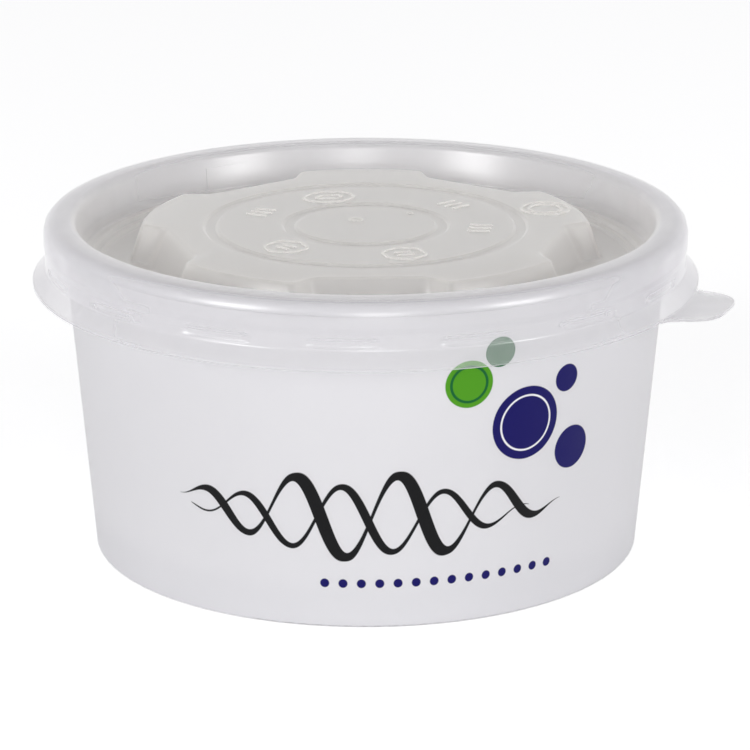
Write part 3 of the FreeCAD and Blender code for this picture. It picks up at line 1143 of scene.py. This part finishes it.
    def draw_out_tab(self) -> None:
        """Extrudes the tab from the skirt's edge."""
        root, root_half = self.tab_root
        line = soften([
            (root, -root_half),
            (self.tab_neck, -self.tab_half, self.tab_neck_round),
            (self.tab_reach, -self.tab_half, self.tab_round),
            (self.tab_reach, self.tab_half, self.tab_round),
            (self.tab_neck, self.tab_half, self.tab_neck_round),
            (root, root_half),
        ], 8)
        lengths = [0.0]
        for first, second in zip(line, line[1:]):
            lengths.append(lengths[-1] + math.dist(first, second))
        steps = self.tab_steps()
        targets = {}
        for place, step in enumerate(steps):
            wanted = lengths[-1] * (place + 1) / (len(steps) + 1)
            part = max(i for i in range(len(lengths) - 1) if lengths[i] <= wanted)
            share = (wanted - lengths[part]) / (lengths[part + 1] - lengths[part])
            targets[step] = between(line[part], line[part + 1], share)
        self.select_edges(set(steps))
        mesh = bmesh.from_edit_mesh(bpy.context.object.data)
        number = mesh.verts.layers.int["step"]
        starts = {vert[number]: vert.co.copy() for vert in mesh.verts if vert.select}
        for share in self.tab_rows:
            bpy.ops.mesh.extrude_region_move()
            mesh = bmesh.from_edit_mesh(bpy.context.object.data)
            number = mesh.verts.layers.int["step"]
            for vert in mesh.verts:
                if vert.select:
                    start = starts[vert[number]]
                    target = [v * MM for v in targets[vert[number]]]
                    place = between((start.x, start.y), target, share)
                    rise = self.tab_rise * MM * share * share
                    vert.co = Vector((*place, start.z + rise))
            bmesh.update_edit_mesh(bpy.context.object.data)

    def level_foot(self) -> None:
        """Brings the corners at the tab's root up to the skirt's edge."""
        mesh = bmesh.from_edit_mesh(bpy.context.object.data)
        for vert in mesh.verts:
            vert.co.z = max(vert.co.z, self.skirt_foot * MM)
        bmesh.update_edit_mesh(bpy.context.object.data)

    def face_up(self) -> None:
        """Turns the sheet the right way up, if its panel faces down."""
        mesh = bpy.context.object.data
        middle = min(mesh.polygons, key=lambda face: face.center.xy.length)
        if middle.normal.z < 0:
            bpy.ops.object.mode_set(mode="EDIT")
            bpy.ops.mesh.select_all(action="SELECT")
            bpy.ops.mesh.flip_normals()
            bpy.ops.object.mode_set(mode="OBJECT")


class Mark(Enum):
    """The kinds of small raised mark on the lid's panel."""

    HEXAGON = "hexagon"
    OVAL = "oval"
    BARS = "bars"
    ROUNDEL = "roundel"


@dataclass
class MouldMarks:
    """Small raised outlines and bars on the lid's panel, and two pips left by the mould."""

    panel: float = PANEL_HEIGHT
    raise_by: float = 0.22
    sink: float = 0.06
    line: float = 0.42
    places: tuple[tuple[Mark, float, float], ...] = (
        (Mark.BARS, 62.0, 17.6),
        (Mark.OVAL, 132.0, 16.9),
        (Mark.BARS, 179.0, 17.4),
        (Mark.HEXAGON, 250.0, 17.6),
        (Mark.HEXAGON, 311.0, 17.6),
        (Mark.BARS, 14.0, 17.4),
        (Mark.ROUNDEL, 40.0, 29.0),
    )
    pips: tuple[tuple[float, float, float, float], ...] = (
        (-2.4, 1.9, 1.15, 0.42),
        (3.9, 8.4, 0.6, 0.3),
    )
    hexagon_bevel: float = 0.9
    bar_bevel: float = 0.18
    smooth: float = 35.0

    def build(self, material: bpy.types.Material) -> bpy.types.Object:
        """Models all the marks as one piece.

        Args:
            material: its finish.

        Returns:
            The piece.
        """
        made = []
        for mark, angle, radius in self.places:
            for shape in self.shapes(mark):
                made.append(self.settle(shape, math.radians(angle), radius))
        made += [self.pip(*sizes) for sizes in self.pips]
        bpy.ops.object.select_all(action="DESELECT")
        for piece in made:
            piece.select_set(True)
        bpy.context.view_layer.objects.active = made[0]
        bpy.ops.object.join()
        start_piece("lid_marks")
        return end_piece(material, Body.LID, self.smooth)

    def shapes(self, mark: Mark) -> list[bpy.types.Object]:
        """The loose shapes of one mark, about the origin.

        Args:
            mark: which one.

        Returns:
            The shapes.
        """
        if mark is Mark.HEXAGON:
            bars = [self.bar(0.0, up, 2.6) for up in (0.75, -0.75)]
            return [self.outline(3.7, 6, 1.0, 1.0), *bars]
        if mark is Mark.OVAL:
            return [self.outline(3.3, 40, 1.25, 1.0), self.outline(1.5, 24, 1.5, 0.8)]
        if mark is Mark.ROUNDEL:
            return [self.outline(3.9, 48, 1.0, 1.0), self.outline(2.7, 36, 1.0, 1.0)]
        return [self.bar(across, 0.0, 3.4, math.pi / 2) for across in (-1.7, 0.0, 1.7)]

    def outline(self, radius: float, sides: int, wide: float, deep: float) -> bpy.types.Object:
        """A raised outline.

        Args:
            radius: its outer radius in millimetres.
            sides: how many sides it has.
            wide: how much it is drawn out across.
            deep: how much it is drawn out the other way.

        Returns:
            The shape.
        """
        bpy.ops.mesh.primitive_circle_add(vertices=sides, radius=radius * MM, fill_type="NGON")
        bpy.ops.object.mode_set(mode="EDIT")
        bpy.ops.mesh.select_all(action="SELECT")
        bpy.ops.transform.resize(value=(wide, deep, 1.0), center_override=(0.0, 0.0, 0.0))
        if sides < 12:
            bpy.ops.mesh.bevel(offset=self.hexagon_bevel * MM, segments=4, affect="VERTICES")
        bpy.ops.mesh.inset(thickness=self.line * MM)
        bpy.ops.mesh.delete(type="FACE")
        bpy.ops.mesh.select_all(action="SELECT")
        self.thicken()
        return bpy.context.object

    def bar(self, across: float, up: float, length: float, turn: float = 0.0) -> bpy.types.Object:
        """A raised bar.

        Args:
            across: its middle, across the mark.
            up: its middle, the other way.
            length: its length in millimetres.
            turn: its direction in radians.

        Returns:
            The shape.
        """
        bpy.ops.mesh.primitive_plane_add(size=1.0)
        bpy.ops.object.mode_set(mode="EDIT")
        bpy.ops.mesh.select_all(action="SELECT")
        wide, deep = (length, self.line) if abs(math.cos(turn)) > 0.5 else (self.line, length)
        bpy.ops.transform.resize(value=(wide * MM, deep * MM, 1.0), center_override=(0.0, 0.0, 0.0))
        bpy.ops.mesh.bevel(offset=self.bar_bevel * MM, segments=3, affect="VERTICES")
        bpy.ops.transform.translate(value=(across * MM, up * MM, 0.0))
        self.thicken()
        return bpy.context.object

    def thicken(self) -> None:
        """Gives the open shape its height, and leaves edit mode."""
        bpy.ops.mesh.extrude_region_move(
            TRANSFORM_OT_translate={"value": (0.0, 0.0, (self.raise_by + self.sink) * MM)}
        )
        bpy.ops.mesh.select_all(action="SELECT")
        bpy.ops.mesh.normals_make_consistent(inside=False)
        bpy.ops.object.mode_set(mode="OBJECT")

    def settle(self, shape: bpy.types.Object, angle: float, radius: float) -> bpy.types.Object:
        """Sets a shape on the panel.

        Args:
            shape: the shape.
            angle: its direction from the tab.
            radius: its distance from the axis.

        Returns:
            The shape.
        """
        shape.rotation_euler.z = angle + math.pi / 2
        shape.location = (
            radius * math.cos(angle) * MM,
            radius * math.sin(angle) * MM,
            (self.panel - self.sink) * MM,
        )
        bpy.ops.object.select_all(action="DESELECT")
        shape.select_set(True)
        bpy.context.view_layer.objects.active = shape
        bpy.ops.object.transform_apply(location=True, rotation=True, scale=True)
        return shape

    def pip(self, x: float, y: float, radius: float, height: float) -> bpy.types.Object:
        """A small dome.

        Args:
            x: its place towards the tab, in millimetres.
            y: its place to the left of that.
            radius: its radius.
            height: how far it stands up.

        Returns:
            The shape.
        """
        bpy.ops.mesh.primitive_uv_sphere_add(segments=24, ring_count=12, radius=radius * MM)
        bpy.ops.object.mode_set(mode="EDIT")
        bpy.ops.mesh.select_all(action="SELECT")
        bpy.ops.transform.resize(
            value=(1.0, 1.0, height / radius), center_override=(0.0, 0.0, 0.0)
        )
        bpy.ops.mesh.bisect(
            plane_co=(0.0, 0.0, -self.sink * MM), plane_no=(0.0, 0.0, 1.0), clear_inner=True,
            use_fill=True
        )
        bpy.ops.mesh.select_all(action="SELECT")
        bpy.ops.transform.translate(value=(x * MM, y * MM, self.panel * MM))
        bpy.ops.object.mode_set(mode="OBJECT")
        return bpy.context.object


def dress(node: str, material: bpy.types.Material) -> bpy.types.Object:
    """Gives a CAD node its finish.

    Args:
        node: the node's name.
        material: the finish.

    Returns:
        The node's object.
    """
    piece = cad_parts[node]
    for slot in piece.material_slots:
        slot.material = material
    return piece


@dataclass(frozen=True)
class SoftBox:
    """One round lamp, placed from the camera's side of the object and aimed at it."""

    name: str
    turn: float
    lift: float
    reach: float
    size: float
    power: float


@dataclass
class Studio:
    """The floor, the soft light and the camera."""

    front: float = FRONT
    distance: float = 0.5618
    height: float = 0.2016
    aside: float = 0.0014
    pitch: float = math.radians(17.42)
    focal_pixels: float = 3841.0
    picture_pixels: float = 750.0
    sensor: float = 36.0
    floor_half: float = 4.0
    floor_drop: float = 0.0001
    floor_grey: float = 0.97
    floor_lift: float = 0.48
    fill_tone: Colour = (0.985, 0.985, 1.0)
    fill_high: float = 0.28
    fill_low: float = 1.1
    aim_height: float = 0.03
    boxes: tuple[SoftBox, ...] = (
        SoftBox("key", -46.0, 20.0, 0.9, 0.32, 1.9),
        SoftBox("side", 54.0, 18.0, 0.9, 0.3, 1.5),
        SoftBox("front", 4.0, 10.0, 1.1, 0.32, 1.5),
    )

    def build(self) -> None:
        """Makes everything around the object."""
        self.lay_floor()
        self.fill_sky()
        self.hang_lights()
        self.set_camera()

    def lay_floor(self) -> None:
        """Lays a pale floor that takes the object's shadow."""
        bpy.ops.mesh.primitive_plane_add(
            size=2 * self.floor_half, location=(0.0, 0.0, -self.floor_drop)
        )
        floor = bpy.context.object
        floor.name = "floor"
        recipe = Recipe("floor_white")
        path = recipe.node("ShaderNodeLightPath")
        seen = Field(recipe.tree, path.outputs["Is Camera Ray"]).most(
            Field(recipe.tree, path.outputs["Is Glossy Ray"])
        )
        grey = (self.floor_grey, self.floor_grey, self.floor_grey, 1.0)
        ground = recipe.node("ShaderNodeBsdfDiffuse", {}, {"Color": grey})
        lift = recipe.node(
            "ShaderNodeEmission",
            {},
            {"Color": (1.0, 1.0, 1.0, 1.0), "Strength": seen * self.floor_lift},
        )
        both = recipe.node("ShaderNodeAddShader", {}, {0: ground.outputs[0], 1: lift.outputs[0]})
        floor.data.materials.append(recipe.finish(both))

    def fill_sky(self) -> None:
        """Fills the room with even light, and shows white behind the object."""
        world = bpy.data.worlds.new("studio")
        bpy.context.scene.world = world
        world.use_nodes = True
        tree = world.node_tree
        tree.nodes.clear()
        path = tree.nodes.new("ShaderNodeLightPath")
        seen = Field(tree, path.outputs["Is Camera Ray"])
        for name in ("Is Glossy Ray", "Is Transmission Ray"):
            seen = seen.most(Field(tree, path.outputs[name]))
        light = tree.nodes.new("ShaderNodeBackground")
        light.inputs["Color"].default_value = (*self.fill_tone, 1.0)
        way = tree.nodes.new("ShaderNodeTexCoord")
        split = tree.nodes.new("ShaderNodeSeparateXYZ")
        tree.links.new(way.outputs["Generated"], split.inputs[0])
        rise = Field(tree, split.outputs["Z"]).most(0.0)
        strength = rise.root() * (self.fill_high - self.fill_low) + self.fill_low
        tree.links.new(strength.socket, light.inputs["Strength"])
        white = tree.nodes.new("ShaderNodeBackground")
        white.inputs["Color"].default_value = (1.0, 1.0, 1.0, 1.0)
        white.inputs["Strength"].default_value = 1.0
        mixed = tree.nodes.new("ShaderNodeMixShader")
        output = tree.nodes.new("ShaderNodeOutputWorld")
        tree.links.new(seen.socket, mixed.inputs[0])
        tree.links.new(light.outputs[0], mixed.inputs[1])
        tree.links.new(white.outputs[0], mixed.inputs[2])
        tree.links.new(mixed.outputs[0], output.inputs["Surface"])

    def hang_lights(self) -> None:
        """Hangs soft boxes over the camera's shoulders."""
        for box in self.boxes:
            angle = self.front + math.radians(box.turn)
            rise = math.radians(box.lift)
            place = Vector(
                (
                    math.cos(angle) * math.cos(rise) * box.reach,
                    math.sin(angle) * math.cos(rise) * box.reach,
                    math.sin(rise) * box.reach,
                )
            )
            lamp = bpy.data.lights.new(box.name, "AREA")
            lamp.shape = "DISK"
            lamp.size = box.size
            lamp.energy = box.power
            hung = bpy.data.objects.new(box.name, lamp)
            bpy.context.collection.objects.link(hung)
            hung.location = place
            aim = Vector((0.0, 0.0, self.aim_height)) - place
            hung.rotation_euler = aim.to_track_quat("-Z", "Y").to_euler()

    def set_camera(self) -> None:
        """Sets the camera at the photograph's angle."""
        lens = bpy.data.cameras.new("camera")
        lens.sensor_width = self.sensor
        lens.lens = self.focal_pixels * self.sensor / self.picture_pixels
        lens.clip_start = 0.01
        lens.clip_end = 20.0
        stand = bpy.data.objects.new("camera", lens)
        bpy.context.collection.objects.link(stand)
        outward = Vector((math.cos(self.front), math.sin(self.front), 0.0))
        sideways = Vector((-math.sin(self.front), math.cos(self.front), 0.0))
        stand.location = outward * self.distance + sideways * self.aside
        stand.location.z = self.height
        look = -outward * math.cos(self.pitch) - Vector((0.0, 0.0, math.sin(self.pitch)))
        stand.rotation_euler = look.to_track_quat("-Z", "Y").to_euler()
        bpy.context.scene.camera = stand


def choose_print() -> tuple[Motif, ...]:
    """The print's shapes, from the lowest layer up.

    Returns:
        The shapes.
    """
    return (
        Wave(1.0, 17.5, BLACK, half_length=31.0, swing=6.5, period=15.5, thick=1.15, climb=-0.02),
        Wave(-1.0, 17.0, BLACK, half_length=27.0, swing=5.2, period=15.5, shift=2.6, thick=0.7),
        DotRow(12.0, 7.0, NAVY, half_length=19.6),
        Disc(24.5, 30.0, NAVY, radius=5.6),
        Ring(24.5, 30.0, WHITE, radius=4.2, line=0.28),
        Disc(33.5, 24.5, NAVY, radius=3.3),
        Disc(31.5, 35.6, NAVY, radius=2.1),
        Disc(15.0, 37.2, LEAF, radius=3.6),
        Ring(15.0, 37.2, DEEP_GREEN, radius=2.7, line=0.4),
        Disc(19.6, 41.6, DEEP_GREEN, radius=2.3),
    )


def main() -> None:
    """Builds the classes in order."""
    logging.basicConfig(level=logging.INFO, format="%(message)s")
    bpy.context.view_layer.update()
    bpy.ops.object.select_all(action="DESELECT")
    bpy.context.scene.view_settings.view_transform = "Standard"
    dress("side_wall", PrintedBoard(motifs=choose_print()).make())
    dress("bottom_disc", PlainBoard().make())
    plastic = FrostedPlastic().make()
    LidShell().build(plastic)
    MouldMarks().build(plastic)
    Studio().build()
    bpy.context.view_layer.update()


if __name__ == "__main__":
    main()
